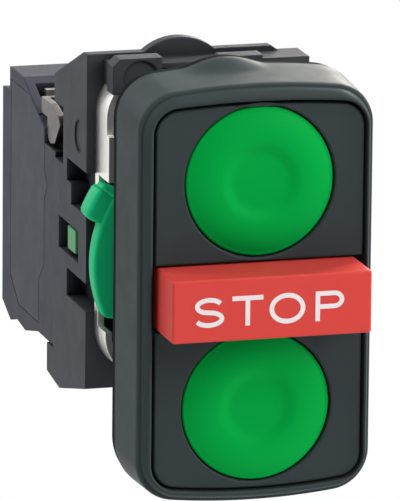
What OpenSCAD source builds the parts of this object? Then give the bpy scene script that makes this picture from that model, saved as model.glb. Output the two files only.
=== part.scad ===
// Triple push button: a dark head with two flush round buttons and a projecting bar between them,
// clamped to a panel through a 22 mm hole by a steel frame, a lock lever and a rear body,
// which carries three contact blocks side by side.
// +X is right as seen by the operator, +Z is up and the operator stands on the -Y side.
// The origin is on the axis of the barrel, at the face that the gasket presses on the panel.

/* [Bezel] */
// Width of the bezel at its back
bezel_w = 30; // [29:0.5:34]
// Height of the bezel at its back, over the bowed ends
bezel_h = 52.4; // [51:0.2:58]
// Depth of the bezel, from its back to the top of its rim
bezel_d = 9.9; // [9.4:0.1:12]
// Radius of the bezel's corners at its back
bezel_corner_r = 5.6; // [5:0.2:8]
// Radius of the bezel's corners at its front
front_corner_r = 4.7; // [4.4:0.1:6]
// Radius of the bow of the top and bottom edges
bezel_bow_r = 85; // [60:5:140]
// How far each side leans in towards the front
bezel_draft = 0.55; // [0.3:0.05:0.8]
// Depth of the soft step between the side wall and the rim
rim_rise = 1.3; // [1:0.1:1.6]
// How far the foot of the rim is set in from the side wall
rim_step = 0.45; // [0.3:0.05:0.6]
// Width of the rim at its foot
rim_w = 1.1; // [0.9:0.1:1.4]
// Thickness of the bezel's side walls
bezel_wall = 1.5; // [1.2:0.1:1.8]
// Height of the bump on the top rear edge
bump_h = 1; // [0.6:0.1:1.5]
// Width of the bump
bump_w = 9; // [7:0.5:11]
// Place of the bump's middle across the bezel
bump_x = -2; // [-3:0.1:3]

/* [Panels] */
// Gap round the inner panels
panel_gap = 0.45; // [0.3:0.05:0.6]
// How far the panels lie below the rim
panel_recess = 0.6; // [0.4:0.05:0.9]
// Thickness of the panels
panel_t = 1.6; // [1.4:0.1:2]
// Depth of the collar behind each panel that guides the button
collar_d = 1; // [0.8:0.1:1.4]
// Wall of that collar
collar_wall = 0.6; // [0.5:0.05:0.8]

/* [Buttons] */
// Diameter of the round buttons
button_d = 18.2; // [17:0.1:18.4]
// Distance between the two round buttons
button_pitch = 27.4; // [27.2:0.1:28.4]
// How far the ring on a button's face stands above its panel
button_proud = 0.55; // [0.3:0.05:0.6]
// Depth of the hollow inside that ring
dish_depth = 0.42; // [0.2:0.02:0.6]
// Radius of the ring
ring_crest_r = 5.3; // [4.5:0.1:6]
// How far a button's edge lies behind the ring
button_fall = 0.95; // [0.6:0.05:1.1]
// Radial gap round a button
button_gap = 0.25; // [0.15:0.05:0.35]
// Thickness of a button's face
button_t = 2.15; // [2:0.05:2.4]
// Travel of every button
press_travel = 3; // [2:0.1:3]

/* [Bar] */
// Width of the bar
bar_w = 24.5; // [22:0.1:24.8]
// Height of the bar
bar_h = 7.6; // [7:0.1:7.8]
// How far the bar projects from the panels
bar_proud = 6.7; // [5:0.1:8]
// Bevel round the front of the bar
bar_bevel = 0.4; // [0.2:0.05:0.6]
// Gap above and below the bar
bar_gap = 0.25; // [0.15:0.05:0.35]

/* [Head base] */
// Thickness of the plate that closes the head
base_t = 1.4; // [1.2:0.1:1.5]
// Diameter of the barrel that goes through the panel
barrel_d = 22; // [21.8:0.1:22.2]
// Wall of the barrel
barrel_wall = 1.5; // [1.2:0.1:1.8]
// Thickness of the gasket
gasket_t = 0.5; // [0.4:0.1:0.8]
// How far the gasket lies inside the bezel's outline
gasket_inset = 0.25; // [0.1:0.05:0.5]
// Diameter of the push rods
rod_d = 2.4; // [2:0.1:2.6]
// Running clearance round the rods and the barrel
run_clearance = 0.06; // [0.04:0.01:0.1]
// Distance of the outer rods from the middle, sideways
rod_x = 2; // [1.8:0.1:2.1]
// Distance of the outer rods from the middle, up or down
rod_z = 7.1; // [7:0.1:7.2]

/* [Clamp frame] */
// Thickest panel that the frame clamps
panel_max_t = 6; // [5:0.5:6]
// Width of the steel frame
frame_w = 27.8; // [27.4:0.1:28.4]
// Top of the steel frame above the axis
frame_top = 23.8; // [23:0.1:24.6]
// Bottom of the steel frame below the axis
frame_bottom = 14; // [13.8:0.1:14.6]
// Corner radius of the steel frame
frame_corner_r = 5.5; // [4.5:0.5:6]
// Thickness of the sheet
frame_t = 0.8; // [0.7:0.05:0.9]
// How far the frame's front edge is cut back at its corners
frame_notch = 1; // [0.6:0.1:1.2]

/* [Lock lever] */
// Thickness of the lever
lever_t = 2.6; // [2.2:0.1:2.8]
// Outer radius of the lever's ring
lever_ring_r = 12.6; // [12.2:0.1:12.7]
// Outer radius of the lever's rim outside the frame
lever_rim_r = 15.2; // [14.8:0.1:15.4]
// Outer radius of the lever's lug
lever_lug_r = 17.3; // [17:0.1:18]
// Depth of the finger tab on the lug
lever_tab_d = 4.6; // [4:0.1:4.7]
// How far the tab stands in front of the lever
lever_tab_proud = 0.6; // [0.4:0.1:0.8]

/* [Rear body] */
// Width of the rear body
body_w = 30; // [29.6:0.2:31]
// Front of the rear body behind the panel
body_front = 12; // [12:0.5:13]
// Depth of the rear body
body_d = 15; // [15:0.5:17]
// Top of the rear body above the axis
body_top = 25.2; // [24.8:0.1:26]
// Bottom of the rear body below the axis, at its front
body_bottom = 16.2; // [16:0.2:18]
// Thickness of the body's side walls
body_wall = 3; // [2.6:0.1:3.2]
// How far the hood of the body reaches forward over the steel frame
hood_d = 4; // [3:0.1:4.4]

/* [Contact blocks] */
// Width of one contact block
block_w = 9.7; // [9.4:0.1:9.8]
// Distance from block to block
block_pitch = 10; // [10:0.1:10.1]
// Depth of a contact block
block_d = 25.4; // [25:0.2:27]
// Half the height of a contact block
block_half_h = 16.4; // [16:0.2:17]
// Thickness of the side cover
cover_t = 0.8; // [0.6:0.1:1]
// Height of the terminal screws above and below the axis
screw_z = 12.2; // [12:0.1:12.4]
// Diameter of the terminal screw heads
screw_head_d = 5.6; // [5.2:0.1:5.8]

/* [Hidden] */

// Smallest distance used to make cuts run past a face
past = 0.5;
$fn = 64;

// Places along the depth of the head, from the gasket forwards
bezel_back = -gasket_t;
rim_front = bezel_back - bezel_d;
wall_front = rim_front + rim_rise;
panel_front = rim_front + panel_recess;
panel_back = panel_front + panel_t;
collar_back = panel_back + collar_d;
base_front = bezel_back - base_t;
button_front = panel_front - button_proud;
button_inner = button_front + button_t;
bar_front = panel_front - bar_proud;
bar_back = panel_back - 0.4;

// Outlines of the head, from the back of the bezel to the panels
front_w = bezel_w - 2 * bezel_draft;
front_h = bezel_h - 2.7 * bezel_draft;
rim_foot_w = front_w - 2 * rim_step;
rim_foot_h = front_h - 2 * rim_step;
opening_w = rim_foot_w - 2 * rim_w;
opening_h = rim_foot_h - 2 * rim_w;
panel_w = opening_w - 2 * panel_gap;
panel_h = opening_h - 2 * panel_gap;
rim_corner_r = front_corner_r - rim_step;
panel_corner_r = rim_corner_r - rim_w - panel_gap;
inner_w = bezel_w - 2 * bezel_wall - 2 * bezel_draft;
inner_h = bezel_h - 2 * bezel_wall - 2 * bezel_draft;
ledge = 1.2;

// Buttons
button_z = button_pitch / 2;
button_bore_d = button_d + 2 * button_gap;
flange_d = button_d + 1.2;
flange_t = 0.8;
flange_front = collar_back + 0.2;
skirt_wall = 0.9;
dish_r = button_d / 2 - 0.5;
spring_wire = 0.5;
button_spring_d = 11;
bar_spring_d = 6;
slot_half_h = bar_h / 2 + bar_gap;
collar_r = button_bore_d / 2 + collar_wall;
hook_w = 0.5;
hook_t = 0.8;
hook_front = collar_back + 0.2;

// Barrel and rods
barrel_end = 14;
barrel_id = barrel_d - 2 * barrel_wall;
rod_bore_d = rod_d + 2 * run_clearance;
guide_t = 3;
key_w = 3;
key_r = barrel_d / 2 + 1;
foot_t = 1.2;
foot_front = barrel_end + 0.4;
foot_back = foot_front + foot_t;
actuate_gap = 0.3;

// Clamp frame and lever
frame_corner_front = panel_max_t + frame_notch;
frame_back = body_front;
frame_mid_z = (frame_top - frame_bottom) / 2;
frame_h = frame_top + frame_bottom;
lever_front = panel_max_t + 1.6;
lever_back = lever_front + lever_t;
lever_gap = 0.3;
lug_from = 143;
lug_to = 160;
rim_to = 207;
tab_from = 146;
lever_tab_front = lever_front - lever_tab_proud;

// Rear body
body_back = body_front + body_d;
cavity_front = body_front + 2.2;
hood_front = body_front - hood_d;
hood_gap = 0.15;
hood_bottom = frame_top - 2.4;
pad_front = panel_max_t + 0.2;
pad_back = hood_front + 0.8;
pad_top = body_top + 0.5;
hood_top = frame_top + hood_gap + 0.6;
crest_t = 1.6;
nose_mid = 4.7;
nose_half = 2.1;
nose_gap = 0.15;
pad_corner = 0.9;
window_x = body_w / 2 - body_wall + 0.7;

// Contact blocks
block_front = body_back;
block_back = block_front + block_d;
block_x = [-block_pitch, 0, block_pitch];
plunger_front = foot_back + actuate_gap;
plunger_w = 3;
plunger_h = 4;
nib_reach = body_w / 2 - 0.3;
block_foot_z = 1.8 - block_half_h;
block_wall = 1.1;
bridge_y = block_front + 10.2;
bridge_t = 0.6;
tip_t = 0.2;
contact_y = bridge_y + bridge_t + 2 * tip_t + press_travel + 0.1;
plunger_back = block_front + 12.8;
chamber_front = block_front + 1.4;
chamber_back = contact_y + 4;
chamber_half_h = 8.2;
terminal_t = 0.8;
terminal_w = 5;
terminal_y = block_front + 7;
terminal_top = 15.2;
clamp_y = block_front + 11.6;
clamp_t = 1;
screw_seat = block_front + 14;
roof_drop = 4;
cover_edge = 0.6;
cover_front = block_front + 5.2;
cover_back = block_back - 4.2;
bulge = 1.4;
nose_d = 2;
tab_low = 10.2;
tab_t = 0.8;
tab_reach = 0.9;
tab_neck_low = 13.2;
clamp_half = 2.9;
clamp_hole_d = 3.2;
head_t = 2;
head_rise = 1.2;
shank_d = 3;

// A closed outline with straight sides, bowed top and bottom, and round corners
function bowed(w, h, r, bow_r) =
    let (a = w / 2 - r, c = h / 2 - bow_r, z = c + sqrt(pow(bow_r - r, 2) - a * a))
    let (turn = atan2(z - c, a), n = 8, m = 6)
    let (right = [for (i = [0:n]) [a + r * cos(turn * i / n), z + r * sin(turn * i / n)]])
    let (middle = [for (i = [1:m - 1]) let (t = turn + (180 - 2 * turn) * i / m)
        [bow_r * cos(t), c + bow_r * sin(t)]])
    let (left = [for (i = [n:-1:0]) [-right[i][0], right[i][1]]])
    let (upper = concat(right, middle, left), last = len(upper) - 1)
    concat(upper, [for (i = [last:-1:0]) [upper[i][0], -upper[i][1]]]);

// Points of an arc about the axis, in the X-Z plane
function arc(r, from, to, steps) = [for (i = [0:steps])
    let (t = from + (to - from) * i / steps) [r * cos(t), r * sin(t)]];

// An X-Z outline made solid between two depths
module plate(points, front, back) {
    translate([0, back, 0])
        rotate([90, 0, 0])
            linear_extrude(back - front)
                polygon(points);
}

// A Y-Z outline made solid between two widths
module side_plate(points, from_x, to_x) {
    translate([from_x, 0, 0])
        rotate([90, 0, 90])
            linear_extrude(to_x - from_x)
                polygon(points);
}

// A box given by its lowest and highest corners
module block(low, high) {
    translate(low)
        cube(high - low);
}

// A round bar along the depth
module rod(x, z, front, back, d) {
    translate([x, back, z])
        rotate([90, 0, 0])
            cylinder(d = d, h = back - front);
}

// A turned piece about an axis along the depth: points are [radius, depth]
module turned(z, points) {
    translate([0, 0, z])
        rotate([-90, 0, 0])
            rotate_extrude()
                polygon(points);
}

// A compression spring along the depth, with one wire swept round a helix
module spring(x, z, front, back, d, wire, turns) {
    sides = 6;
    per_turn = 16;
    rings = turns * per_turn;
    r = (d - wire) / 2;
    first = front + wire / 2;
    rise = (back - front - wire) / rings;
    points = [for (i = [0:rings], j = [0:sides - 1])
        let (t = 360 * i / per_turn, s = 360 * j / sides, q = r + wire / 2 * cos(s))
        [x + q * cos(t), first + rise * i + wire / 2 * sin(s), z + q * sin(t)]];
    walls = [for (i = [0:rings - 1], j = [0:sides - 1])
        let (k = (j + 1) % sides, a = i * sides, b = a + sides)
        [a + j, a + k, b + k, b + j]];
    near = [for (j = [sides - 1:-1:0]) j];
    far = [for (j = [0:sides - 1]) rings * sides + j];
    polyhedron(points, concat([near], walls, [far]), convexity = 6);
}

// Outline of one stage of the bezel with its corner radius, shrunk by an amount all round
function bezel_stage(w, h, r, inset) = bowed(w - 2 * inset, h - 2 * inset, r - inset, bezel_bow_r - inset);

// Low arched bump that grows out of the top rear edge
module bezel_bump() {
    foot_z = bezel_h / 2 - 1.4;
    bump_r = (pow(bump_w / 2, 2) + pow(bump_h + 1, 2)) / (2 * (bump_h + 1));
    intersection() {
        hull() {
            rod(bump_x, bezel_h / 2 + bump_h - bump_r, bezel_back - 0.8, bezel_back, 2 * bump_r);
            rod(bump_x, bezel_h / 2 + bump_h - bump_r - 1.2, bezel_back - 3.2, bezel_back, 2 * bump_r);
        }
        block([bump_x - bump_w, bezel_back - 4, foot_z], [bump_x + bump_w, bezel_back, foot_z + 5]);
    }
}

module bezel() {
    soft_back = wall_front + 0.6;
    rim_back = wall_front + past;
    color("darkslategray")
        difference() {
            union() {
                hull() {
                    plate(bezel_stage(bezel_w, bezel_h, bezel_corner_r, 0), bezel_back - 0.8, bezel_back);
                    plate(bezel_stage(front_w, front_h, front_corner_r, 0), soft_back - 0.1, soft_back);
                    plate(bezel_stage(front_w, front_h, front_corner_r, 0.35), wall_front, wall_front + 0.1);
                }
                hull() {
                    plate(bezel_stage(rim_foot_w, rim_foot_h, rim_corner_r, 0), rim_front + 0.4, rim_back);
                    plate(bezel_stage(rim_foot_w, rim_foot_h, rim_corner_r, 0.12), rim_front + 0.12, rim_back);
                    plate(bezel_stage(rim_foot_w, rim_foot_h, rim_corner_r, 0.35), rim_front, rim_back);
                }
                bezel_bump();
            }
            plate(bowed(opening_w, opening_h, panel_corner_r + panel_gap, bezel_bow_r),
                rim_front - past, panel_back);
            plate(bowed(opening_w - 2 * ledge, opening_h - 2 * ledge, panel_corner_r, bezel_bow_r),
                panel_back - past, bezel_back + past);
            plate(bowed(inner_w, inner_h, bezel_corner_r - bezel_wall - bezel_draft, bezel_bow_r),
                collar_back, bezel_back + past);
            for (side = [-1, 1])
                rod(0, side * button_z, panel_back - past, collar_back + past, 2 * collar_r + 0.1);
            block([-bar_w / 2 - bar_gap, panel_back - past, -slot_half_h],
                [bar_w / 2 + bar_gap, bezel_back + past, slot_half_h]);
        }
}

// One inner panel: side is 1 for the upper one and -1 for the lower one
module panel(side) {
    far = opening_h;
    color("darkslategray")
        difference() {
            union() {
                plate(bowed(panel_w, panel_h, panel_corner_r, bezel_bow_r), panel_front, panel_back);
                rod(0, side * button_z, panel_back - past, collar_back, 2 * collar_r);
            }
            block([-panel_w, panel_front - past, side > 0 ? -far : -slot_half_h],
                [panel_w, collar_back + past, side > 0 ? slot_half_h : far]);
            rod(0, side * button_z, panel_front - past, collar_back + past, button_bore_d);
        }
}

module upper_panel() { panel(1); }
module lower_panel() { panel(-1); }

// Face of a round button, as [radius, depth] points outwards: hollow, ring and fall to the edge
function button_face() = let (steps = 16) [for (i = [0:steps])
    let (r = dish_r * i / steps, hollow = (1 + cos(min(1, r / ring_crest_r) * 180)) / 2)
    let (fall = max(0, (r - ring_crest_r) / (button_d / 2 - ring_crest_r)))
    [r, button_front + dish_depth * hollow + button_fall * pow(fall, 2.2)]];

// A round button: face, skirt and a flange that stops it behind the collar
module button(side) {
    r = button_d / 2;
    edge = 0.35;
    edge_front = button_front + button_fall;
    color("green")
        difference() {
            turned(side * button_z, concat(button_face(), [
                [r - edge * 0.3, edge_front + edge * 0.3],
                [r, edge_front + edge],
                [r, flange_front],
                [flange_d / 2, flange_front],
                [flange_d / 2, flange_front + flange_t],
                [r - skirt_wall, flange_front + flange_t],
                [r - skirt_wall, button_inner],
                [0, button_inner]]));
            block([-flange_d, flange_front - 0.01, -slot_half_h], [flange_d, 0, slot_half_h]);
        }
}

module top_button() { button(1); }
module bottom_button() { button(-1); }

// The bar is a hollow moulding with a bevelled front edge and a socket for its rod
module stop_bar() {
    half_w = bar_w / 2;
    half_h = bar_h / 2;
    wall = 1.3;
    color("red")
        difference() {
            union() {
                hull() {
                    block([-half_w, bar_front + bar_bevel, -half_h], [half_w, bar_back, half_h]);
                    block([-half_w + bar_bevel, bar_front, -half_h + bar_bevel],
                        [half_w - bar_bevel, bar_back, half_h - bar_bevel]);
                }
                for (side = [-1, 1]) {
                    block([side > 0 ? half_w - wall : -half_w, bar_back - past, -2],
                        [side > 0 ? half_w : wall - half_w, hook_front + hook_t, 2]);
                    block([side > 0 ? half_w - wall : -half_w - hook_w, hook_front, -2],
                        [side > 0 ? half_w + hook_w : wall - half_w, hook_front + hook_t, 2]);
                }
            }
            block([-half_w + wall, bar_front + 2, -half_h + wall], [-3, bar_back + past, half_h - wall]);
            block([3, bar_front + 2, -half_h + wall], [half_w - wall, bar_back + past, half_h - wall]);
            rod(0, 0, bar_back - 3, bar_back + past, rod_d);
        }
}

// The plate and the barrel are one moulding, with a guide disc for the three rods
module head_base() {
    color("dimgray")
        difference() {
            union() {
                plate(bowed(inner_w - 0.2, inner_h - 0.2, bezel_corner_r - bezel_wall - bezel_draft,
                    bezel_bow_r), base_front, bezel_back);
                rod(0, 0, base_front, barrel_end, barrel_d);
                block([-key_w / 2, bezel_back - 0.1, 0], [key_w / 2, panel_max_t - 1, key_r]);
            }
            rod(0, 0, base_front + guide_t, barrel_end + past, barrel_id);
            rod(0, 0, base_front - past, base_front + guide_t + past, rod_bore_d);
            rod(-rod_x, rod_z, base_front - past, base_front + guide_t + past, rod_bore_d);
            rod(rod_x, -rod_z, base_front - past, base_front + guide_t + past, rod_bore_d);
        }
}

module panel_gasket() {
    color("black")
        difference() {
            plate(bowed(bezel_w - 2 * gasket_inset, bezel_h - 2 * gasket_inset,
                bezel_corner_r - gasket_inset, bezel_bow_r), bezel_back, 0);
            rod(0, 0, bezel_back - past, past, barrel_d + 2 * run_clearance);
            block([-key_w / 2 - 0.1, bezel_back - past, 0], [key_w / 2 + 0.1, past, key_r + 0.1]);
        }
}

// A rod from a round button, with a foot that reaches out to one contact block
module side_pusher(side) {
    x = -side * rod_x;
    z = side * rod_z;
    color("dimgray") {
        rod(x, z, button_inner, foot_back, rod_d);
        hull() {
            rod(x, z, foot_front, foot_back, 3);
            rod(-side * (block_pitch - 0.8), side * 0.6, foot_front, foot_back, 3);
        }
    }
}

module top_pusher() { side_pusher(1); }
module bottom_pusher() { side_pusher(-1); }

module stop_pusher() {
    color("dimgray") {
        rod(0, 0, bar_back - 3, foot_back, rod_d);
        rod(0, 0, foot_front, foot_back, 4.4);
    }
}

module top_return_spring() {
    color("silver")
        spring(0, button_z, button_inner, base_front, button_spring_d, spring_wire, 4);
}

module bottom_return_spring() {
    color("silver")
        spring(0, -button_z, button_inner, base_front, button_spring_d, spring_wire, 4);
}

module stop_return_spring() {
    color("silver")
        spring(0, 0, bar_back, base_front, bar_spring_d, spring_wire, 4);
}

// Rubber sleeve round a rod where it enters the guide disc
module seal(x, z) {
    depth = 1.1;
    wall = 0.7;
    color("black")
        difference() {
            rod(x, z, base_front + guide_t, base_front + guide_t + depth, rod_bore_d + 2 * wall);
            rod(x, z, base_front, base_front + guide_t + depth + past, rod_bore_d);
        }
}

module top_seal() { seal(-rod_x, rod_z); }
module bottom_seal() { seal(rod_x, -rod_z); }
module stop_seal() { seal(0, 0); }

// Rounded rectangle of the steel frame, shrunk by an amount all round
module frame_outline(inset, front, back) {
    half_w = frame_w / 2 - frame_corner_r;
    half_h = frame_h / 2 - frame_corner_r;
    r = frame_corner_r - inset;
    translate([0, back, frame_mid_z])
        rotate([90, 0, 0])
            linear_extrude(back - front)
                hull()
                    for (x = [-half_w, half_w], z = [-half_h, half_h])
                        translate([x, z])
                            circle(r = r);
}

// The frame is a bent strip with a slot in its left side for the lever
module clamp_frame() {
    slot_top = lever_lug_r * sin(lug_from) + lever_gap;
    slot_bottom = sqrt(pow(lever_rim_r, 2) - pow(frame_w / 2 - frame_t, 2)) + lever_gap;
    low_notch = -frame_bottom + frame_corner_r + 2;
    high_notch = frame_top - frame_corner_r - 2;
    color("gainsboro")
        difference() {
            frame_outline(0, panel_max_t, frame_back);
            frame_outline(frame_t, panel_max_t - past, frame_back + past);
            block([-frame_w, panel_max_t - past, -frame_bottom - past],
                [frame_w, frame_corner_front, low_notch]);
            block([-frame_w, panel_max_t - past, high_notch],
                [frame_w, frame_corner_front, frame_top + past]);
            block([-frame_w / 2 - past, panel_max_t - past, -slot_bottom],
                [-frame_w / 2 + 2, lever_back + lever_gap, slot_top]);
            rod(0, 0, lever_front - lever_gap, lever_back + lever_gap, 2 * (lever_ring_r + lever_gap));
        }
}

// Ring round the barrel, with a rim, a lug and a finger tab outside the frame
module lock_lever() {
    tab_x = -frame_w / 2 - 0.2;
    tab_back = lever_tab_front + lever_tab_d;
    color("mediumseagreen")
        difference() {
            union() {
                rod(0, 0, lever_front, lever_back, 2 * lever_ring_r);
                plate(concat([[0, 0]], arc(lever_lug_r, lug_from, lug_to, 10),
                    arc(lever_rim_r, lug_to + 1, rim_to, 10),
                    [[lever_ring_r * cos(rim_to + 8), lever_ring_r * sin(rim_to + 8)]]),
                    lever_front, lever_back);
                intersection() {
                    plate(concat(arc(lever_lug_r, tab_from, lug_to, 6), [[tab_x, 4.6], [tab_x, 10]]),
                        lever_tab_front, tab_back);
                    block([-lever_lug_r - 1, lever_tab_front, 0], [tab_x, tab_back, lever_lug_r]);
                }
            }
            rod(0, 0, lever_front - past, lever_back + past, barrel_d + 2 * run_clearance);
        }
}

// A soft swell forward from a straight edge, from its upper end to its lower one
function swell(edge, half, reach) =
    [for (i = [-5:5]) [edge - reach * (1 + cos(36 * i)) / 2, nose_mid - half * i / 5]];

// The swell as a nose, closed behind the edge
function nose(edge, half, reach) =
    concat([[edge + 1, nose_mid + half]], swell(edge, half, reach), [[edge + 1, nose_mid - half]]);

// Side profile of the rear body: sloping roof, foot below the blocks and a raised base at the front
function body_profile() = [
    [body_front, -body_bottom],
    [body_front + 12, -body_bottom - 2.9],
    [body_back + 3, -body_bottom - 2.1],
    [body_back + 3, block_foot_z - 0.15],
    [body_back, block_foot_z - 0.15],
    [body_back, body_top - 5.4],
    [body_front + crest_t, body_top],
    [body_front, body_top]];

// Front outline of the rear body: hump on the left of the middle and a sloping right shoulder
function body_outline() = let (half = body_w / 2, hump_x = -3.5, hump_w = 4.4, hump_h = 1.6)
    let (r = (hump_w * hump_w + hump_h * hump_h) / (2 * hump_h))
    concat([[-half, -30], [half, -30], [half, body_top - 5], [half - 2.8, body_top - 3], [8, body_top]],
        [for (i = [-6:6]) let (x = hump_w * i / 6)
            [hump_x - x, body_top + hump_h - r + sqrt(r * r - x * x)]],
        [[-half, body_top]]);

// Deep window in one side wall
module side_window(side, low, high) {
    outer = body_w / 2 + past;
    block([side > 0 ? window_x : -outer, low[0], low[1]], [side > 0 ? outer : -window_x, high[0], high[1]]);
}

// A pad at the front of the hood, with a cut corner at its upper left
module pad(from_x, to_x, low, top) {
    plate([[from_x, low], [to_x, low], [to_x, top], [from_x + pad_corner, top], [from_x, top - pad_corner]],
        pad_front, pad_back);
}

// The hood over the steel frame, with two raised pads that come down in front of it
module hood() {
    block([-12.9, hood_front, hood_bottom], [11.6, body_front + 1, hood_top]);
    pad(-13.4, -7.3, hood_bottom, pad_top);
    pad(-0.8, 5.2, hood_bottom + 1, pad_top - 0.3);
}

module mounting_body() {
    half = body_w / 2;
    inner = half - body_wall;
    tab_x = block_pitch + block_w / 2;
    color("slategray")
        difference() {
            union() {
                intersection() {
                    side_plate(body_profile(), -half, half);
                    plate(body_outline(), body_front - past, body_back + 5);
                }
                intersection() {
                    plate(body_outline(), body_front, body_front + crest_t);
                    block([-half, body_front, body_top - 2], [half, body_front + crest_t, body_top + 3]);
                }
                hood();
            }
            frame_outline(-hood_gap, frame_corner_front - hood_gap, body_front);
            rod(0, 0, body_front - past, cavity_front + past, barrel_d + 2 * run_clearance);
            block([-inner, cavity_front, -chamber_half_h - 1],
                [inner, body_back + past, chamber_half_h + 3.4]);
            rod(-9.9, pad_top - 2.5, pad_front - past, pad_front + 0.3, 4.4);
            for (side = [-1, 1]) {
                side_window(side, [body_front - past, 5.2], [body_front + 7, 10.6]);
                side_window(side, [body_front, 7.8], [body_front + 9, 10.6]);
                side_window(side, [body_front - past, -6.6], [body_front + 8.8, -3.1]);
                block([side > 0 ? inner - past : -half - past, body_front + 3.6, -1.4],
                    [side > 0 ? half + past : past - inner, body_front + 12.6, 2.6]);
                translate([side * half, body_front + 3.6, 14.4])
                    rotate([0, 90, 0])
                        cylinder(r = 2, h = 0.4, center = true);
            }
            block([-half - past, body_back - 4.2, tab_low - 0.9],
                [-tab_x + 1.4, body_back + past, terminal_top + 1.2]);
            side_plate(nose(body_back - nose_gap, nose_half + nose_gap, nose_d), -half - past, -inner);
            for (x = block_x)
                block([x - block_w / 2 + 0.1, body_back - tab_reach - 0.3, tab_low - 0.3],
                    [x - block_w / 2 + 1.4, body_back + past, terminal_top + 0.3]);
        }
}

// Side profile of a contact block, from its front lower corner round the back to the top
function block_profile() = let (h = block_half_h, f = block_front, b = block_back) [
    [f, block_foot_z],
    [f + 7.8, block_foot_z],
    [f + 14, -h + 0.4],
    [b - 7.2, -h + 0.9],
    [b - 4.2, -h],
    [b, block_foot_z],
    [b, h - 3.6],
    [b - 3.4, h - 3.2],
    [b - 3.4, h - 0.4],
    [b - 9.8, h - 0.4],
    [f + 6.4, h - roof_drop],
    [f, h - roof_drop]];

// Outline of the side cover, larger all round by a gap
function cover_profile(gap) = let (f = cover_front - gap, b = cover_back + gap)
    let (low = block_foot_z + 1.2 - gap, high = block_half_h - roof_drop - cover_edge + gap)
    concat([[f, high]], swell(f, nose_half + gap, bulge), [[f, -5.6], [f + 2.5, -7.9], [f + 2.5, low],
        [b - 4, low], [b, low + 3], [b, high + 2.6], [b - 8.9, high + 2.6]]);

// A contact block: hollow for the moving contacts, with a chamber and a screw hole for each terminal
module housing(x) {
    half = block_w / 2;
    inner = half - block_wall;
    color("lightslategray")
        translate([x, 0, 0])
            difference() {
                union() {
                    side_plate(block_profile(), -half, half);
                    side_plate(nose(block_front, nose_half, nose_d), -half, 0.4 - inner);
                }
                block([-inner, chamber_front, -chamber_half_h], [inner, chamber_back, chamber_half_h]);
                block([-half, cover_front + 3, 1 - chamber_half_h],
                    [-inner + past, chamber_back - 1, chamber_half_h - 1]);
                side_plate(cover_profile(0.12), -half - past, -half + cover_t);
                block([-plunger_w / 2 - 0.2, block_front - past, -plunger_h / 2 - 0.2],
                    [plunger_w / 2 + 0.2, chamber_front + past, plunger_h / 2 + 0.2]);
                for (side = [0, 1])
                    mirror([0, 0, side]) {
                        rod(0, screw_z, screw_seat - past, block_back + past, screw_head_d + 0.5);
                        block([-inner, terminal_y - 0.1, chamber_half_h + 1],
                            [inner, screw_seat + 0.1, block_half_h + 1]);
                        block([-terminal_w / 2 - 0.1, terminal_y - 0.1, chamber_half_h - past],
                            [terminal_w / 2 + 0.1, terminal_y + terminal_t + 0.1, chamber_half_h + 1.5]);
                    }
                block([-half - past, block_front - past, tab_low - 0.3],
                    [0.4 - inner, terminal_y + terminal_t + 0.1, block_half_h]);
            }
}

// Side cover of a contact block, with a soft bulge in its front edge
module cover(x) {
    outer = x - block_w / 2;
    color("slategray")
        side_plate(cover_profile(0), outer, outer + cover_t);
}

// A contact plunger: stem, window for the bridge and, at the sides, a nib in the body's window
module plunger(x, nib) {
    half_h = plunger_h / 2;
    color("lightgreen")
        difference() {
            union() {
                block([x - plunger_w / 2, plunger_front, -half_h], [x + plunger_w / 2, plunger_back, half_h]);
                if (nib != 0)
                    block([min(x, nib), plunger_front + 2.1, -0.8], [max(x, nib), plunger_front + 5.6, 2]);
            }
            block([x - 1.1, bridge_y - 0.01, -half_h - past],
                [x + 1.1, bridge_y + bridge_t + 0.01, half_h + past]);
        }
}

module bridge(x) {
    color("goldenrod") {
        block([x - 1, bridge_y, -6.6], [x + 1, bridge_y + bridge_t, 6.6]);
        for (z = [-5.6, 5.6])
            rod(x, z, bridge_y + bridge_t - 0.1, bridge_y + bridge_t + tip_t, 1.8);
    }
}

module block_spring(x) {
    color("silver")
        spring(x, 0, plunger_back, chamber_back, 3.4, 0.4, 4);
}

// One fixed terminal, as a bent strip: contact leg inside and screw leg in its chamber
module terminal(x, side) {
    leg_top = chamber_half_h - 0.05;
    leg_low = leg_top - terminal_t;
    mirror([0, 0, side > 0 ? 0 : 1]) {
        side_plate([[contact_y, 4.4], [contact_y + terminal_t, 4.4], [contact_y + terminal_t, leg_top],
            [terminal_y + terminal_t, leg_top], [terminal_y + terminal_t, terminal_top],
            [terminal_y, terminal_top], [terminal_y, leg_low], [contact_y, leg_low]],
            x - terminal_w / 2, x + terminal_w / 2);
        rod(x, 5.6, contact_y - tip_t, contact_y + 0.1, 1.8);
    }
}

// Bent tab of the upper terminal that shows at the left front corner of its block
module terminal_tab(x) {
    face = x - block_w / 2 + 0.3;
    f = block_front;
    back = terminal_y + terminal_t;
    side_plate([[back, tab_neck_low], [back, terminal_top], [f + 3.4, terminal_top], [f, terminal_top - 0.8],
        [f - tab_reach, terminal_top - 1.8], [f + 1.6, tab_low + 0.4], [f + 3.6, tab_low],
        [cover_front - 0.2, tab_low + 0.9], [cover_front - 0.2, tab_neck_low]],
        face, face + tab_t);
    block([face, terminal_y, tab_neck_low], [x - terminal_w / 2 + 0.1, back, terminal_top]);
}

module terminals(x) {
    color("tan") {
        terminal(x, 1);
        terminal(x, -1);
        terminal_tab(x);
    }
}

// Six square clamping washers under the screw heads
module terminal_clamps() {
    color("silver")
        for (x = block_x, z = [-screw_z, screw_z])
            difference() {
                block([x - clamp_half, clamp_y, z - clamp_half],
                    [x + clamp_half, clamp_y + clamp_t, z + clamp_half]);
                rod(x, z, clamp_y - past, clamp_y + clamp_t + past, clamp_hole_d);
            }
}

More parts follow.
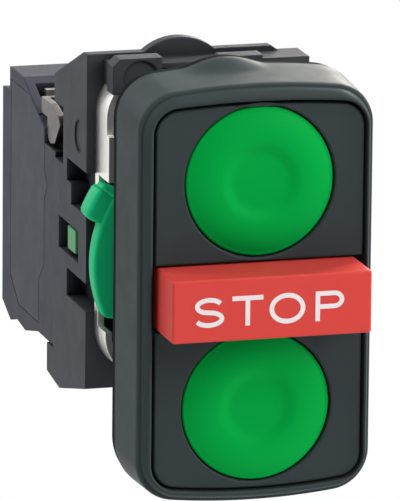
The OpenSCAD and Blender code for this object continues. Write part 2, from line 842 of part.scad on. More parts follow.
// Six terminal screws: cross slot, head and shank down into the terminal
module terminal_screws() {
    head_back = screw_seat + head_rise;
    color("silver")
        for (x = block_x, z = [-screw_z, screw_z])
            difference() {
                union() {
                    rod(x, z, head_back - head_t, head_back, screw_head_d);
                    rod(x, z, terminal_y + terminal_t, head_back, shank_d);
                }
                block([x - 2, head_back - 0.9, z - 0.4], [x + 2, head_back + past, z + 0.4]);
                block([x - 0.4, head_back - 0.9, z - 2], [x + 0.4, head_back + past, z + 2]);
            }
}

module left_housing() { housing(block_x[0]); }
module centre_housing() { housing(block_x[1]); }
module right_housing() { housing(block_x[2]); }
module left_cover() { cover(block_x[0]); }
module centre_cover() { cover(block_x[1]); }
module right_cover() { cover(block_x[2]); }
module left_plunger() { plunger(block_x[0], -nib_reach); }
module centre_plunger() { plunger(block_x[1], 0); }
module right_plunger() { plunger(block_x[2], nib_reach); }
module left_bridge() { bridge(block_x[0]); }
module centre_bridge() { bridge(block_x[1]); }
module right_bridge() { bridge(block_x[2]); }
module left_block_spring() { block_spring(block_x[0]); }
module centre_block_spring() { block_spring(block_x[1]); }
module right_block_spring() { block_spring(block_x[2]); }
module left_terminals() { terminals(block_x[0]); }
module centre_terminals() { terminals(block_x[1]); }
module right_terminals() { terminals(block_x[2]); }

bezel();
upper_panel();
lower_panel();
top_button();
bottom_button();
stop_bar();
head_base();
panel_gasket();
top_pusher();
bottom_pusher();
stop_pusher();
top_return_spring();
bottom_return_spring();
stop_return_spring();
top_seal();
bottom_seal();
stop_seal();
clamp_frame();
lock_lever();
mounting_body();
left_housing();
centre_housing();
right_housing();
left_cover();
centre_cover();
right_cover();
left_plunger();
centre_plunger();
right_plunger();
left_bridge();
centre_bridge();
right_bridge();
left_block_spring();
centre_block_spring();
right_block_spring();
left_terminals();
centre_terminals();
right_terminals();
terminal_clamps();
terminal_screws();
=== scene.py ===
import bpy
import math
from mathutils import Matrix, Vector


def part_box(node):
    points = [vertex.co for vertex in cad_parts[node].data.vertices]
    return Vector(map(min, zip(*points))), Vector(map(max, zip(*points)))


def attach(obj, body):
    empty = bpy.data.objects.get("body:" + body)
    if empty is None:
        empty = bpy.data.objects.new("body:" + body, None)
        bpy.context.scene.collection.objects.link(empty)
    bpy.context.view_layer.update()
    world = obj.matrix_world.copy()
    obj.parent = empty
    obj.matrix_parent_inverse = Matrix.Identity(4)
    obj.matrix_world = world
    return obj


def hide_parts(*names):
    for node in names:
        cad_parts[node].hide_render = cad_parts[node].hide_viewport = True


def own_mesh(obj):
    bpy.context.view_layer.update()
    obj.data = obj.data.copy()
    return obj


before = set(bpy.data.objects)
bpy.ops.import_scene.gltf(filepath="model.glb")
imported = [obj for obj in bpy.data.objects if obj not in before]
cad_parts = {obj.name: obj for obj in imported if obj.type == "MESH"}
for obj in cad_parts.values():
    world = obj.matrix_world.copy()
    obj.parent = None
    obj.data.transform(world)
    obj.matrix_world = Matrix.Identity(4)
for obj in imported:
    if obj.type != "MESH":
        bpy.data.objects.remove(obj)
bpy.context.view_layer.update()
MM = 0.001


def box_mm(node_name):
    return [[c / MM for c in p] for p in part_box(node_name)]


# Sizes taken from the CAD boxes, in millimetres; y runs from front to back
bezel_lo, bezel_hi = box_mm("bezel")
bar_lo, bar_hi = box_mm("stop_bar")
lever_lo, lever_hi = box_mm("lock_lever")
FRONT = bezel_lo[1]
BACK = bezel_hi[1]
BEZEL_W = bezel_hi[0] - bezel_lo[0]
BEZEL_H = -2 * bezel_lo[2]

# Scales of the noise patterns
TINT_SCALE, GLOSS_SCALE, GRAIN_SCALE = 60, 320, 2600
CLOUD_SCALE, BRUSH_SCALE = 110, 900
# Heights of the grain and width of a soft metal edge, in metres
PLASTIC_GRAIN, METAL_GRAIN = 0.00002, 0.00001
METAL_EDGE = 0.0001
# Rays for soft edges and for the painted shade in recesses
BEVEL_SAMPLES, PAINTED_SHADE_SAMPLES = 6, 8


# Materials
def new_mat(name):
    m = bpy.data.materials.new(name)
    m.use_nodes = True
    nt = m.node_tree
    nt.nodes.clear()
    out = nt.nodes.new("ShaderNodeOutputMaterial")
    p = nt.nodes.new("ShaderNodeBsdfPrincipled")
    nt.links.new(p.outputs[0], out.inputs[0])
    return m, nt, p


def node(nt, kind, **inputs):
    n = nt.nodes.new(kind)
    for k, v in inputs.items():
        n.inputs[k.replace("_", " ")].default_value = v
    return n


def noise(nt, coords, scale, detail, rough):
    n = node(nt, "ShaderNodeTexNoise", Scale=scale, Detail=detail, Roughness=rough)
    nt.links.new(coords, n.inputs["Vector"])
    return n.outputs["Fac"]


def ramp(nt, fac, lo, hi, a, b):
    n = node(nt, "ShaderNodeMapRange", From_Min=lo, From_Max=hi, To_Min=a, To_Max=b)
    nt.links.new(fac, n.inputs["Value"])
    return n.outputs["Result"]


def mix_colour(nt, fac, a, b):
    n = nt.nodes.new("ShaderNodeMix")
    n.data_type = "RGBA"
    nt.links.new(fac, n.inputs["Factor"])
    n.inputs[6].default_value = (*a, 1)
    n.inputs[7].default_value = (*b, 1)
    return n.outputs[2]


def object_coords(nt):
    return nt.nodes.new("ShaderNodeTexCoord").outputs["Object"]


def bumped(nt, p, height, strength, dist, radius):
    """Grain on a surface, with edges softened in the shading where radius isn't 0."""
    b = node(nt, "ShaderNodeBump", Strength=strength, Distance=dist)
    nt.links.new(height, b.inputs["Height"])
    if radius:
        v = node(nt, "ShaderNodeBevel", Radius=radius)
        v.samples = BEVEL_SAMPLES
        nt.links.new(v.outputs[0], b.inputs["Normal"])
    nt.links.new(b.outputs[0], p.inputs["Normal"])


def painted_recess_shade(nt, colour, depth, reach, low, high):
    """Painted shade: darken a colour by ambient occlusion inside gaps and recesses, by up to the share given
    by depth.
    """
    ao = node(nt, "ShaderNodeAmbientOcclusion", Distance=reach)
    ao.samples = PAINTED_SHADE_SAMPLES
    fac = ramp(nt, ao.outputs["AO"], low, high, 1.0 - depth, 1.0)
    n = nt.nodes.new("ShaderNodeVectorMath")
    n.operation = "SCALE"
    nt.links.new(colour, n.inputs[0])
    nt.links.new(fac, n.inputs["Scale"])
    return n.outputs[0]


def plastic(name, colour, dark, rough, grain=0.12, radius=0.00018, spec=0.5, depth=0.0, reach=0.004,
            low=0.15, high=0.85):
    """Moulded plastic or rubber: slightly uneven tint and gloss, fine grain, and painted shade that darkens
    the colour in recesses.
    """
    m, nt, p = new_mat(name)
    v = object_coords(nt)
    fine = noise(nt, v, GRAIN_SCALE, 2.0, 0.5)
    tint = ramp(nt, noise(nt, v, TINT_SCALE, 4.0, 0.6), 0.3, 0.7, 0.0, 1.0)
    mixed = mix_colour(nt, tint, dark, colour)
    # Painted shade: where depth is given, the colour darkens where ambient occlusion finds surfaces near by
    if depth:
        mixed = painted_recess_shade(nt, mixed, depth, reach, low, high)
    nt.links.new(mixed, p.inputs["Base Color"])
    gloss = ramp(nt, noise(nt, v, GLOSS_SCALE, 4.0, 0.6), 0.25, 0.75, rough - 0.05, rough + 0.06)
    nt.links.new(gloss, p.inputs["Roughness"])
    p.inputs["Specular IOR Level"].default_value = spec
    bumped(nt, p, fine, grain, PLASTIC_GRAIN, radius)
    return m


def metal(name, colour, dark, rough, stretch=(1, 1, 1)):
    """Metal with brush marks, drawn out along the axis that stretch makes small."""
    m, nt, p = new_mat(name)
    v = object_coords(nt)
    mapping = node(nt, "ShaderNodeMapping", Scale=stretch)
    nt.links.new(v, mapping.inputs["Vector"])
    marks = noise(nt, mapping.outputs[0], BRUSH_SCALE, 3.0, 0.6)
    cloud = ramp(nt, noise(nt, v, CLOUD_SCALE, 4.0, 0.6), 0.3, 0.7, 0.0, 1.0)
    nt.links.new(mix_colour(nt, cloud, dark, colour), p.inputs["Base Color"])
    p.inputs["Metallic"].default_value = 1.0
    nt.links.new(ramp(nt, marks, 0.2, 0.8, rough - 0.07, rough + 0.1), p.inputs["Roughness"])
    bumped(nt, p, marks, 0.08, METAL_GRAIN, METAL_EDGE)
    return m


# Where depth, reach, low and high are given, the colour is darkened in recesses and creases: painted shade
M = {
    "bezel": plastic("bezel_plastic", (0.040, 0.053, 0.056), (0.036, 0.048, 0.051), 0.44, grain=0.10,
                     radius=0.0, spec=0.06, depth=0.92, reach=0.0015, low=0.3, high=0.93),
    "panel": plastic("panel_plastic", (0.036, 0.047, 0.050), (0.031, 0.041, 0.044), 0.46, radius=0.0,
                     spec=0.08),
    # Darker colour for the inside of the gap round the panels: painted shade, the same plastic as the bezel
    "gap": plastic("painted_shade_in_gap", (0.016, 0.021, 0.022), (0.013, 0.017, 0.018), 0.6, grain=0.1, radius=0.0,
                   spec=0.1),
    "green": plastic("button_green", (0.0006, 0.355, 0.054), (0.0006, 0.34, 0.050), 0.42, grain=0.05,
                     radius=0.0, spec=0.03),
    "red": plastic("bar_red", (0.66, 0.062, 0.052), (0.64, 0.058, 0.048), 0.42, grain=0.05, radius=0.0,
                   spec=0.12),
    "base": plastic("base_plastic", (0.080, 0.085, 0.090), (0.065, 0.070, 0.074), 0.5, spec=0.2, depth=0.5),
    "gasket": plastic("gasket_rubber", (0.009, 0.011, 0.011), (0.006, 0.008, 0.008), 0.8, grain=0.25,
                      spec=0.03),
    "pusher": plastic("pusher_plastic", (0.46, 0.46, 0.42), (0.42, 0.42, 0.38), 0.45, spec=0.2),
    "lever": plastic("lever_green", (0.014, 0.58, 0.23), (0.012, 0.55, 0.215), 0.36, grain=0.06,
                     radius=0.00035, spec=0.03),
    "body": plastic("body_plastic", (0.052, 0.055, 0.064), (0.045, 0.048, 0.056), 0.5, grain=0.2,
                    radius=0.0003, spec=0.06, depth=0.94, reach=0.0035, low=0.25, high=0.82),
    "block": plastic("block_plastic", (0.052, 0.052, 0.070), (0.045, 0.045, 0.061), 0.5, grain=0.2,
                     radius=0.0003, spec=0.06, depth=0.9, reach=0.005, low=0.25, high=0.9),
    "cover": plastic("cover_plastic", (0.052, 0.052, 0.072), (0.045, 0.045, 0.063), 0.46, grain=0.18,
                     radius=0.0003, spec=0.06),
    "plunger": plastic("plunger_green", (0.10, 0.36, 0.15), (0.085, 0.32, 0.13), 0.45, grain=0.1,
                       radius=0.0002, spec=0.15),
    "steel": metal("frame_steel", (0.90, 0.885, 0.84), (0.86, 0.845, 0.805), 0.36, stretch=(1, 1, 0.04)),
    "spring": metal("spring_steel", (0.62, 0.61, 0.60), (0.50, 0.49, 0.48), 0.28),
    "terminal": metal("terminal_steel", (0.19, 0.165, 0.16), (0.13, 0.115, 0.11), 0.42),
    "screw": metal("screw_steel", (0.34, 0.32, 0.30), (0.26, 0.245, 0.23), 0.36),
    "brass": metal("contact_brass", (0.78, 0.56, 0.24), (0.66, 0.45, 0.18), 0.3),
    "white": plastic("letter_white", (0.82, 0.75, 0.75), (0.79, 0.72, 0.72), 0.5, grain=0.05, radius=0.0,
                     spec=0.1),
}
LOOKS = {
    "bezel": "bezel", "upper_panel": "panel", "lower_panel": "panel", "top_button": "green",
    "bottom_button": "green", "stop_bar": "red", "head_base": "base", "panel_gasket": "gasket",
    "top_pusher": "pusher", "bottom_pusher": "pusher", "stop_pusher": "pusher",
    "clamp_frame": "steel", "lock_lever": "lever", "mounting_body": "body",
    "terminal_clamps": "screw", "terminal_screws": "screw",
}
ENDINGS = {"_spring": "spring", "_seal": "gasket", "_housing": "block", "_cover": "cover",
           "_plunger": "plunger", "_bridge": "brass", "_terminals": "terminal"}
for name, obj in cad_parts.items():
    look = LOOKS.get(name)
    if look is None:
        look = next(v for k, v in ENDINGS.items() if name.endswith(k))
    obj.data.materials.clear()
    obj.data.materials.append(M[look])


# Geometry helpers, all in millimetres
CIRCLE_POINTS = 128
CORNER_STEPS, END_STEPS, SIDE_STEPS = 20, 30, 24


def clamp(t):
    return min(1.0, max(0.0, t))


def smoothstep(a, b, x):
    t = clamp((x - a) / (b - a))
    return t * t * (3 - 2 * t)


def lerp(a, b, t):
    return a + (b - a) * t


def polar(points):
    """Points in the plane from pairs of a radius and an angle in degrees."""
    return [(r * math.cos(math.radians(a)), r * math.sin(math.radians(a))) for r, a in points]


def bowed(left, right, top, low, radii, bow_top, bow_low):
    """Closed outline with straight sides, bowed ends and round corners, always with as many points.

    radii: those of the corners, in order: upper right, upper left, lower left, lower right.
    """
    n, m, s = CORNER_STEPS, END_STEPS, SIDE_STEPS
    arcs = []
    corners = ((right, top, bow_top), (left, top, bow_top), (left, low, bow_low), (right, low, bow_low))
    for (side, end, bow), r in zip(corners, radii):
        a = side - r
        c = end - bow
        z = c + math.sqrt((bow - r) ** 2 - a * a)
        turn = math.atan2(z - c, a)
        points = [(a + r * math.cos(turn * i / n), z + r * math.sin(turn * i / n)) for i in range(n + 1)]
        arcs.append((points, turn, z))
    (ur, t_ur, z_ur), (ul, t_ul, z_ul), (ll, t_ll, z_ll), (lr, t_lr, z_lr) = arcs
    over = [lerp(t_ur, math.pi - t_ul, i / m) for i in range(1, m)]
    under = [lerp(math.pi - t_ll, t_lr, i / m) for i in range(1, m)]
    ring = ur + [(bow_top * math.cos(t), top - bow_top + bow_top * math.sin(t)) for t in over]
    ring += [(-x, y) for x, y in reversed(ul)]
    ring += [(-left, lerp(z_ul, -z_ll, i / s)) for i in range(1, s)]
    ring += [(-x, -y) for x, y in ll]
    ring += [(bow_low * math.cos(t), bow_low - low - bow_low * math.sin(t)) for t in under]
    ring += [(x, -y) for x, y in reversed(lr)]
    ring += [(right, lerp(-z_lr, z_ur, i / s)) for i in range(1, s)]
    return ring


def mesh_object(name, verts, faces, mat, smooth=True):
    me = bpy.data.meshes.new(name)
    me.from_pydata([Vector(v) * MM for v in verts], [], faces)
    me.validate()
    me.update()
    if smooth:
        me.polygons.foreach_set("use_smooth", [True] * len(me.polygons))
    o = bpy.data.objects.new(name, me)
    bpy.context.scene.collection.objects.link(o)
    o.data.materials.append(mat)
    return o


def loft(rings, closed=False):
    """Quads between rings of equal length; closed joins the last ring to the first."""
    n = len(rings[0])
    verts = [v for r in rings for v in r]
    faces = []
    last = len(rings) if closed else len(rings) - 1
    for k in range(last):
        a = k * n
        b = ((k + 1) % len(rings)) * n
        for i in range(n):
            j = (i + 1) % n
            faces.append((a + i, a + j, b + j, b + i))
    return verts, faces


def revolve(name, pts, x0, z0, mat):
    """Surface turned about an axis along y, from pairs of a radius and a depth; the first radius is 0."""
    seg = CIRCLE_POINTS
    verts = [(x0, pts[0][1], z0)]
    faces = []
    for r, y in pts[1:]:
        for k in range(seg):
            a = 2 * math.pi * k / seg
            verts.append((x0 + r * math.cos(a), y, z0 + r * math.sin(a)))
    for k in range(seg):
        faces.append((0, 1 + k, 1 + (k + 1) % seg))
    for j in range(len(pts) - 2):
        for k in range(seg):
            a, b = 1 + j * seg + k, 1 + j * seg + (k + 1) % seg
            faces.append((a, a + seg, b + seg, b))
    return mesh_object(name, verts, faces, mat)


def plate(name, outlines, y0, y1, soft, mat):
    """Flat plate from y0 to y1 with rounded edges; the outlines after the first one are holes."""
    cu = bpy.data.curves.new(name, "CURVE")
    cu.dimensions = "2D"
    cu.fill_mode = "BOTH"
    cu.extrude = ((y1 - y0) / 2 - soft) * MM
    cu.bevel_depth = soft * MM
    cu.bevel_resolution = 3
    cu.offset = -soft * MM
    for pts in outlines:
        sp = cu.splines.new("POLY")
        sp.points.add(len(pts) - 1)
        for p, (x, z) in zip(sp.points, pts):
            p.co = (x * MM, z * MM, 0, 1)
        sp.use_cyclic_u = True
    o = bpy.data.objects.new(name, cu)
    bpy.context.scene.collection.objects.link(o)
    o.rotation_euler = (math.radians(90), 0, 0)
    o.location = (0, (y0 + y1) / 2 * MM, 0)
    cu.materials.append(mat)
    return o


# Bezel: radii of its corners at the back and at the front, and of its bowed ends
BACK_R = (6.2, 5.0, 7.0, 5.6)
FRONT_R = (4.9, 4.9, 4.9, 4.9)
BOW = 85.0
# Its ends draw in by END_DROP over TAPER_DEPTH, and its sides by WALL_DRAFT over DRAFT_DEPTH
END_DROP, TAPER_DEPTH = 0.385, 8.0
WALL_DRAFT, DRAFT_DEPTH = 1.1, 7.2
# Small bump on its top rear edge: middle, half width, height, and depths at which it starts to fade and ends
BUMP_X, BUMP_HALF, BUMP_H = -2.0, 5.1, bezel_hi[2] + bezel_lo[2]
BUMP_FADE, BUMP_END = 1.2, 4.2
TOP_Z = 20
# From the width RIM_W inwards the outline turns into that of the opening, whose top lies OPEN_DROP lower
RIM_W, OPEN_DROP = 28, 0.42
OPEN_L, OPEN_R, OPEN_W, OPEN_CORNER, OPEN_BOW = 12.9, 13.35, 25.8, 3.15, 120.0
OPEN_B = (OPEN_W + BEZEL_H - BEZEL_W - END_DROP) / 2
OPEN_T = OPEN_B - OPEN_DROP
# The dark seal shows between the panel and the bezel's back edge
SEAL = 0.8
GROOVE_BACK, GROOVE_W = FRONT + 2.2, 23.6
# Width less than the full one and depth in front of the back, round the back edge
BACK_EDGE = [(3.2, SEAL), (0.3, SEAL), (0.08, SEAL + 0.03), (0, SEAL + 0.1)]
WALL_STEPS = [1.0, 1.3, 1.7, 2.2, 2.7, 3.2, 3.7, 4.2, 5, 6, 7, 7.6]
# Width and depth behind the front, over the rim and down into the opening
RIM = [(28.90, 1.80), (28.84, 1.54), (28.70, 1.34), (28.50, 1.21), (28.28, 1.15), (28.10, 1.15),
       (27.98, 1.12), (27.90, 1.03), (27.82, 0.89), (27.68, 0.70), (27.48, 0.51), (27.26, 0.34),
       (27.04, 0.20), (26.84, 0.09), (26.66, 0.03), (26.48, 0.0), (26.30, 0.005), (26.14, 0.03),
       (26.00, 0.08), (25.89, 0.15), (25.82, 0.24), (25.80, 0.34)]
# The last bands of quads are the sides and the floor of the gap round the panels; they take a darker colour,
# painted shade for the deep shade there
SHADED_BANDS = 3


def bump(x, y):
    t = (x - BUMP_X) / BUMP_HALF
    if abs(t) >= 1:
        return 0.0
    return BUMP_H * (1 - t * t) ** 1.5 * (1 - smoothstep(BUMP_FADE, BUMP_END, BACK - y))


def bezel_ring(w, y):
    """Outline of the bezel at the depth y, where it is w wide."""
    t = clamp((BACK - y) / TAPER_DEPTH)
    end = (w + BEZEL_H - BEZEL_W - END_DROP * t) / 2
    if w >= RIM_W:
        radii = [lerp(a, b, t) for a, b in zip(BACK_R, FRONT_R)]
        outline = bowed(w / 2, w / 2, end, end, radii, BOW, BOW)
    else:
        k = (RIM_W - w) / (RIM_W - OPEN_W)
        radii = [lerp(r, OPEN_CORNER, clamp(k)) for r in FRONT_R]
        left = w / 2 + (OPEN_L - OPEN_W / 2) * k
        right = w / 2 + (OPEN_R - OPEN_W / 2) * k
        outline = bowed(left, right, end - OPEN_DROP * k, end, radii, lerp(BOW, OPEN_BOW, clamp(k)), BOW)
    return [(x, y, z + bump(x, y) if z > TOP_Z else z) for x, z in outline]


def wall_w(y):
    return BEZEL_W - WALL_DRAFT * clamp((BACK - SEAL - y) / DRAFT_DEPTH)


stations = [(BEZEL_W - w, BACK - d) for w, d in BACK_EDGE]
stations += [(wall_w(BACK - d), BACK - d) for d in WALL_STEPS]
stations += [(w, FRONT + d) for w, d in RIM]
stations += [(OPEN_W, GROOVE_BACK), (GROOVE_W, GROOVE_BACK)]
rings = [bezel_ring(w, y) for w, y in stations]
bezel = mesh_object("bezel_shell", *loft(rings), M["bezel"])
# The faces inside the gap get the darker colour: painted shade
bezel.data.materials.append(M["gap"])
first_shaded = (len(rings) - 1 - SHADED_BANDS) * len(rings[0])
for poly in bezel.data.polygons:
    if poly.index >= first_shaded:
        poly.material_index = 1
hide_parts("bezel")
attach(bezel, "base")


# Dark seal behind the bezel, a little inside its edge, with its back on the panel at y 0
SEAL_INSET, SEAL_INNER, SEAL_EDGE = 0.12, 4, (0.4, 0.1)
seal_rings = [bezel_ring(BEZEL_W - w, y) for w, y in (
    (SEAL_INNER, BACK - SEAL), (SEAL_INSET, BACK - SEAL), (SEAL_INSET, -SEAL_EDGE[1]), (SEAL_EDGE[0], 0.0),
    (SEAL_INNER, 0.0))]
seal = mesh_object("gasket_band", *loft(seal_rings, closed=True), M["gasket"], smooth=False)
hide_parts("panel_gasket")
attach(seal, "base")

# Panels round the buttons, with soft edges
CAP_X = {"top_button": 0.30, "bottom_button": 0.12}
CAP_Z = 13.7
HOLE_R, PANEL_SOFT, PANEL_CORNER = 9.26, 0.26, 2.8
# Gaps between the panels and the opening: left, right, top, bottom
GAP_L, GAP_R, GAP_T, GAP_B = 0.42, 0.22, 0.42, 0.20
PANEL_L, PANEL_R = OPEN_L - GAP_L, OPEN_R - GAP_R
# A step in x beyond this shows where the outline was cut off
CUT_STEP = 5
whole = bowed(PANEL_L, PANEL_R, OPEN_T - GAP_T, OPEN_B - GAP_B, (PANEL_CORNER,) * 4, OPEN_BOW, BOW)
angles = [2 * math.pi * i / CIRCLE_POINTS for i in range(CIRCLE_POINTS)]
for side, node_name, button in ((1, "upper_panel", "top_button"), (-1, "lower_panel", "bottom_button")):
    lo, hi = box_mm(node_name)
    inner_z = lo[2] if side > 0 else -hi[2]
    ring = [(x, z) for x, z in whole if z * side > inner_z]
    start = next((i for i in range(len(ring)) if abs(ring[i][0] - ring[i - 1][0]) > CUT_STEP), 0)
    ring = ring[start:] + ring[:start]
    ends = [(-PANEL_L, inner_z * side), (PANEL_R, inner_z * side)]
    if abs(ring[-1][0] - PANEL_R) < 1:
        ends.reverse()
    ring += ends
    hole = [(CAP_X[button] + HOLE_R * math.cos(a), CAP_Z * side + HOLE_R * math.sin(a)) for a in angles]
    o = plate(node_name + "_plate", [ring, hole], lo[1], hi[1], PANEL_SOFT, M["panel"])
    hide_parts(node_name)
    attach(o, "base")

# Lock lever: a thin ring with a lug, and a rounded finger tab; outlines as radius and angle
TAB_PROUD = 0.6
LEVER_FRONT, LEVER_T, LEVER_SOFT = lever_lo[1] + TAB_PROUD, 2.6, 0.3
TAB_FRONT, TAB_SOFT = LEVER_FRONT + 0.35, 0.5
RING_R, RIM_R, LUG_R, BORE_R = 12.6, 15.2, 17.25, 11.1
LUG = [(16.4, 143.2), (LUG_R, 144), (LUG_R, 145), (LUG_R, 146), (RIM_R, 146.6)]
LEVER_RIM = [(RIM_R, a) for a in range(148, 205, 2)]
RIM_END = [(15.0, 205), (14.2, 207.5), (13.2, 211), (RING_R, 215)]
REST_OF_RING = [(RING_R, a) for a in range(218, 503, 3)]
BORE = [(BORE_R, a) for a in range(0, 360, 4)]
TAB = [(13.9, 145), (16.1, 145.2), (16.75, 145.6), (17.1, 146.5), (LUG_R, 147.7), (LUG_R, 150), (LUG_R, 152),
       (LUG_R, 154), (LUG_R, 156), (LUG_R, 157.4), (17.1, 158.6), (16.7, 159.6), (16.0, 160), (15.1, 160)]
lever = plate("lever_ring", [polar(LUG + LEVER_RIM + RIM_END + REST_OF_RING), polar(BORE)],
              LEVER_FRONT, LEVER_FRONT + LEVER_T, LEVER_SOFT, M["lever"])
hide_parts("lock_lever")
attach(lever, "lever")
tab = plate("lever_tab", [polar(TAB)], TAB_FRONT, lever_hi[1], TAB_SOFT, M["lever"])
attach(tab, "lever")

# Round caps: radius of the face, radii and depth of its hollow, and the fall from the crest to the edge
FACE_R, FACE_STEPS = 8.75, 30
HOLLOW_IN, HOLLOW_OUT, HOLLOW = 3.1, 5.0, 0.42
CREST_R, FALL_REACH, FALL, FALL_POWER = 5.2, 3.9, 0.95, 2.2
# Rounded edge of the face: where it starts, how far it goes out and how far back
EDGE_FROM, EDGE_OUT, EDGE_BACK, EDGE_STEPS = 8.80, 0.30, 0.42, 6
CAP_R, INNER_R, CAP_WALL = 9.1, 8.2, 2.15
# Depths of the shoulder behind the front and of the foot before the back, and radius that closes the inside
SHOULDER, FOOT, CLOSING_R = 1.5, 0.8, 0.01
SHARP_ANGLE = math.radians(35)


def cap_face(front):
    """Face of a cap as radius and depth: shallow hollow, raised ring, then a fall to the edge."""
    pts = []
    for i in range(FACE_STEPS + 1):
        r = FACE_R * i / FACE_STEPS
        hollow = 1 - smoothstep(HOLLOW_IN, HOLLOW_OUT, r)
        fall = max(0.0, (r - CREST_R) / FALL_REACH)
        pts.append((r, front + HOLLOW * hollow + FALL * fall ** FALL_POWER))
    end = pts[-1][1]
    for i in range(1, EDGE_STEPS + 1):
        a = math.radians(90 * i / EDGE_STEPS)
        pts.append((EDGE_FROM + EDGE_OUT * math.sin(a), end + EDGE_BACK - EDGE_BACK * math.cos(a)))
    return pts


for side, node_name, body in ((1, "top_button", "top_press"), (-1, "bottom_button", "bottom_press")):
    lo, hi = box_mm(node_name)
    inner = lo[1] + CAP_WALL
    profile = cap_face(lo[1])
    profile += [(CAP_R, lo[1] + SHOULDER), (CAP_R, hi[1] - FOOT), (CAP_R, hi[1])]
    profile += [(INNER_R, hi[1]), (INNER_R, inner), (CLOSING_R, inner)]
    o = revolve(node_name + "_cap", profile, CAP_X[node_name], CAP_Z * side, M["green"])
    o.data.set_sharp_from_angle(angle=SHARP_ANGLE)
    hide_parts(node_name)
    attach(o, body)

# Stop bar
BAR_FRONT, BAR_HALF_W, BAR_HALF_H = bar_lo[1], 12.25, 3.8
BAR_SOFT, BAR_SEGMENTS = 0.32, 4


def round_box(name, lo, hi, mat, width, segments):
    """Box with edges rounded to the given width."""
    x0, y0, z0 = lo
    x1, y1, z1 = hi
    verts = [(x, y, z) for x in (x0, x1) for y in (y0, y1) for z in (z0, z1)]
    faces = [(0, 1, 3, 2), (4, 6, 7, 5), (0, 4, 5, 1), (2, 3, 7, 6), (0, 2, 6, 4), (1, 5, 7, 3)]
    o = mesh_object(name, verts, faces, mat)
    b = o.modifiers.new("soft edges", "BEVEL")
    b.width = width * MM
    b.segments = segments
    b.harden_normals = True
    return o


bar = round_box("stop_bar_shell", (-BAR_HALF_W, BAR_FRONT, -BAR_HALF_H), (BAR_HALF_W, bar_hi[1], BAR_HALF_H),
                M["red"], BAR_SOFT, BAR_SEGMENTS)
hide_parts("stop_bar")
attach(bar, "stop_press")

# Springs, each copied to an object of its own and fixed to the body that moves it; the table gives that body
# and the joint that presses it
SPRINGS = {"top_return_spring": ("top_press", "top_button_press"),
           "bottom_return_spring": ("bottom_press", "bottom_button_press"),
           "stop_return_spring": ("stop_press", "stop_bar_press"),
           "left_block_spring": ("left_contact", "left_plunger_slide"),
           "centre_block_spring": ("centre_contact", "centre_plunger_slide"),
           "right_block_spring": ("right_contact", "right_plunger_slide")}
for name, (body, joint) in SPRINGS.items():
    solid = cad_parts[name]
    wire = bpy.data.objects.new(name + "_wire", solid.data.copy())
    bpy.context.scene.collection.objects.link(wire)
    wire.matrix_world = solid.matrix_world
    lo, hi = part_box(name)
    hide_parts(name)
    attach(wire, body)
    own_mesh(wire)

# Plain functional word on the bar, drawn as strokes of even width
STROKE, LETTER_H, LETTER_T, WORD_Z = 0.57, 3.62, 0.03, -0.17
# Each further stroke of a letter lies this much further forward, so that no two share a face
LEVEL_STEP = 0.004
ARC_STEPS, ROUND_STEPS = 16, 40
half = (LETTER_H - STROKE) / 2
tip = half + STROKE / 2


def arc(cx, cz, rx, rz, a, b, n=ARC_STEPS):
    turn = [math.radians(lerp(a, b, i / n)) for i in range(n + 1)]
    return [(cx + rx * math.cos(t), cz + rz * math.sin(t)) for t in turn]


def ribbon(pts, width, closed):
    """Corners and quads of a flat stroke that follows the points."""
    pairs = []
    n = len(pts)
    for i, (x, z) in enumerate(pts):
        ax, az = pts[i - 1] if closed or i else pts[i]
        bx, bz = pts[(i + 1) % n] if closed or i < n - 1 else pts[i]
        d = math.hypot(bx - ax, bz - az)
        nx, nz = (az - bz) / d * width / 2, (bx - ax) / d * width / 2
        pairs.append(((x + nx, z + nz), (x - nx, z - nz)))
    quads = []
    for i in range(n if closed else n - 1):
        a, b = 2 * i, (2 * i + 2) % (2 * n)
        quads.append((a, a + 1, b + 1, b))
    return [p for pair in pairs for p in pair], quads


# For each letter, x of its middle and its strokes, each as points and whether it is closed
S_CURVE = arc(0, half / 2, 1.47, half / 2, 22, 248) + arc(0, -half / 2, 1.57, half / 2, 68, -158)
P_STEM, P_BOWL = -1.48, 0.79
P_CURVE = [(P_STEM, half)] + arc(0.55, half - P_BOWL, 0.93, P_BOWL, 90, -90) + [(P_STEM, half - 2 * P_BOWL)]
LETTERS = {
    "s": (-7.78, [(S_CURVE, False)]),
    "t": (-3.06, [([(-1.9, half), (1.9, half)], False), ([(0, half), (0, -tip)], False)]),
    "o": (1.80, [(arc(0, 0, 1.92, half + 0.05, 0, 360, ROUND_STEPS)[:-1], True)]),
    "p": (7.02, [([(P_STEM, tip), (P_STEM, -tip)], False), (P_CURVE, False)]),
}
for letter, (x, strokes) in LETTERS.items():
    verts, faces = [], []
    for level, (pts, closed) in enumerate(strokes):
        corners, quads = ribbon(pts, STROKE, closed)
        start = len(verts)
        verts += [(x + cx, BAR_FRONT - LETTER_T - LEVEL_STEP * level, cz + WORD_Z) for cx, cz in corners]
        faces += [tuple(start + i for i in q) for q in quads]
    o = mesh_object("stop_letter_" + letter, verts, faces, M["white"], smooth=False)
    thick = o.modifiers.new("thickness", "SOLIDIFY")
    thick.thickness = LETTER_T * MM
    thick.offset = 0
    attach(o, "stop_press")


# Floor and world: plain white where they are seen, and a soft level of light on the object
FLOOR_SIZE, FLOOR_Z = 6, -0.16
WORLD_LIGHT = 0.24


def seen(nt):
    """1 for rays that show the backdrop itself: straight to the camera, mirrored or through clear pieces."""
    path = nt.nodes.new("ShaderNodeLightPath")
    total = path.outputs["Is Camera Ray"]
    for kind in ("Is Glossy Ray", "Is Transmission Ray"):
        n = nt.nodes.new("ShaderNodeMath")
        n.operation = "MAXIMUM"
        nt.links.new(total, n.inputs[0])
        nt.links.new(path.outputs[kind], n.inputs[1])
        total = n.outputs[0]
    return total


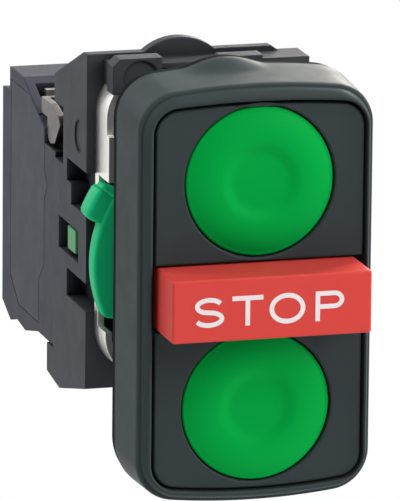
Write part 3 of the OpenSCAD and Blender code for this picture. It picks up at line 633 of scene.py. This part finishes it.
def backdrop(nt, lit, shown, out):
    """Show one shader to the rays that show the backdrop, and the lit one to all others."""
    n = nt.nodes.new("ShaderNodeMixShader")
    nt.links.new(seen(nt), n.inputs[0])
    nt.links.new(lit.outputs[0], n.inputs[1])
    nt.links.new(shown.outputs[0], n.inputs[2])
    nt.links.new(n.outputs[0], out.inputs[0])


bpy.ops.mesh.primitive_plane_add(size=FLOOR_SIZE, location=(0, 0, FLOOR_Z))
floor = bpy.context.object
floor.name = "studio_floor"
floor_mat, nt, p = new_mat("studio_floor")
p.inputs["Base Color"].default_value = (0.85, 0.85, 0.85, 1)
p.inputs["Roughness"].default_value = 0.9
backdrop(nt, p, node(nt, "ShaderNodeEmission", Strength=1.0), nt.nodes["Material Output"])
floor.data.materials.append(floor_mat)

world = bpy.data.worlds.new("studio")
bpy.context.scene.world = world
world.use_nodes = True
nt = world.node_tree
nt.nodes.clear()
soft = node(nt, "ShaderNodeBackground", Color=(0.95, 0.97, 1.0, 1), Strength=WORLD_LIGHT)
plain = node(nt, "ShaderNodeBackground", Color=(1, 1, 1, 1), Strength=1.0)
backdrop(nt, soft, plain, nt.nodes.new("ShaderNodeOutputWorld"))

# Lamps, all aimed at the origin: place and size in metres, power in watts, colour
WHITE, COOL = (1, 1, 1), (0.98, 0.99, 1)
LAMPS = [
    ("near key", (0.22, -0.24, 0.19), 0.14, 0.42, (1, 0.99, 0.98)),
    ("front right", (0.42, -0.70, 0.30), 0.6, 0.9, WHITE),
    ("front top", (0.05, -0.45, 0.82), 0.4, 3.0, WHITE),
    ("right", (0.85, -0.12, 0.15), 0.4, 4.6, WHITE),
    ("top right", (0.11, 0.08, 0.13), 0.06, 0.26, (1, 0.95, 0.88)),
    ("rear right", (0.42, 0.76, 0.24), 0.3, 3.0, (1, 0.93, 0.84)),
    ("back", (-0.30, 0.90, 0.30), 0.5, 1.2, WHITE),
    ("left behind", (-0.15, 0.07, 0.17), 0.08, 0.15, COOL),
    ("left", (-0.84, -0.18, 0.15), 0.4, 0.8, COOL),
]
for name, place, size, power, colour in LAMPS:
    lamp = bpy.data.lights.new(name, "AREA")
    lamp.energy = power
    lamp.color = colour
    lamp.size = size
    o = bpy.data.objects.new(name, lamp)
    bpy.context.scene.collection.objects.link(o)
    o.location = place
    o.rotation_euler = (-Vector(place)).to_track_quat("-Z", "Y").to_euler()
    o.visible_camera = False

# Camera, fitted to the photograph: focal length in heights of a pixel, and its place round the target
FOCAL_PIXELS, FRAME_PIXELS, SENSOR = 7538.0, 501.0, 36.0
YAW, PITCH, ROLL = math.radians(16.2), math.radians(13.6), math.radians(0.576)
TARGET, DISTANCE = Vector((-0.00418, 0, 0.003270)), 0.9
cam_data = bpy.data.cameras.new("camera")
cam = bpy.data.objects.new("camera", cam_data)
bpy.context.scene.collection.objects.link(cam)
bpy.context.scene.camera = cam
cam_data.sensor_fit = "VERTICAL"
cam_data.sensor_height = SENSOR
cam_data.lens = FOCAL_PIXELS * SENSOR / FRAME_PIXELS
cam_data.clip_start = 0.05
cam_data.clip_end = 20
away = Vector((-math.sin(YAW) * math.cos(PITCH), -math.cos(YAW) * math.cos(PITCH), math.sin(PITCH)))
right = Vector((math.cos(YAW), -math.sin(YAW), 0))
up = away.cross(right)
rolled_right = right * math.cos(ROLL) + up * math.sin(ROLL)
rolled_up = up * math.cos(ROLL) - right * math.sin(ROLL)
turned = Matrix((rolled_right, rolled_up, away)).transposed()
cam.matrix_world = Matrix.Translation(TARGET + away * DISTANCE) @ turned.to_4x4()

bpy.context.scene.view_settings.view_transform = "Standard"
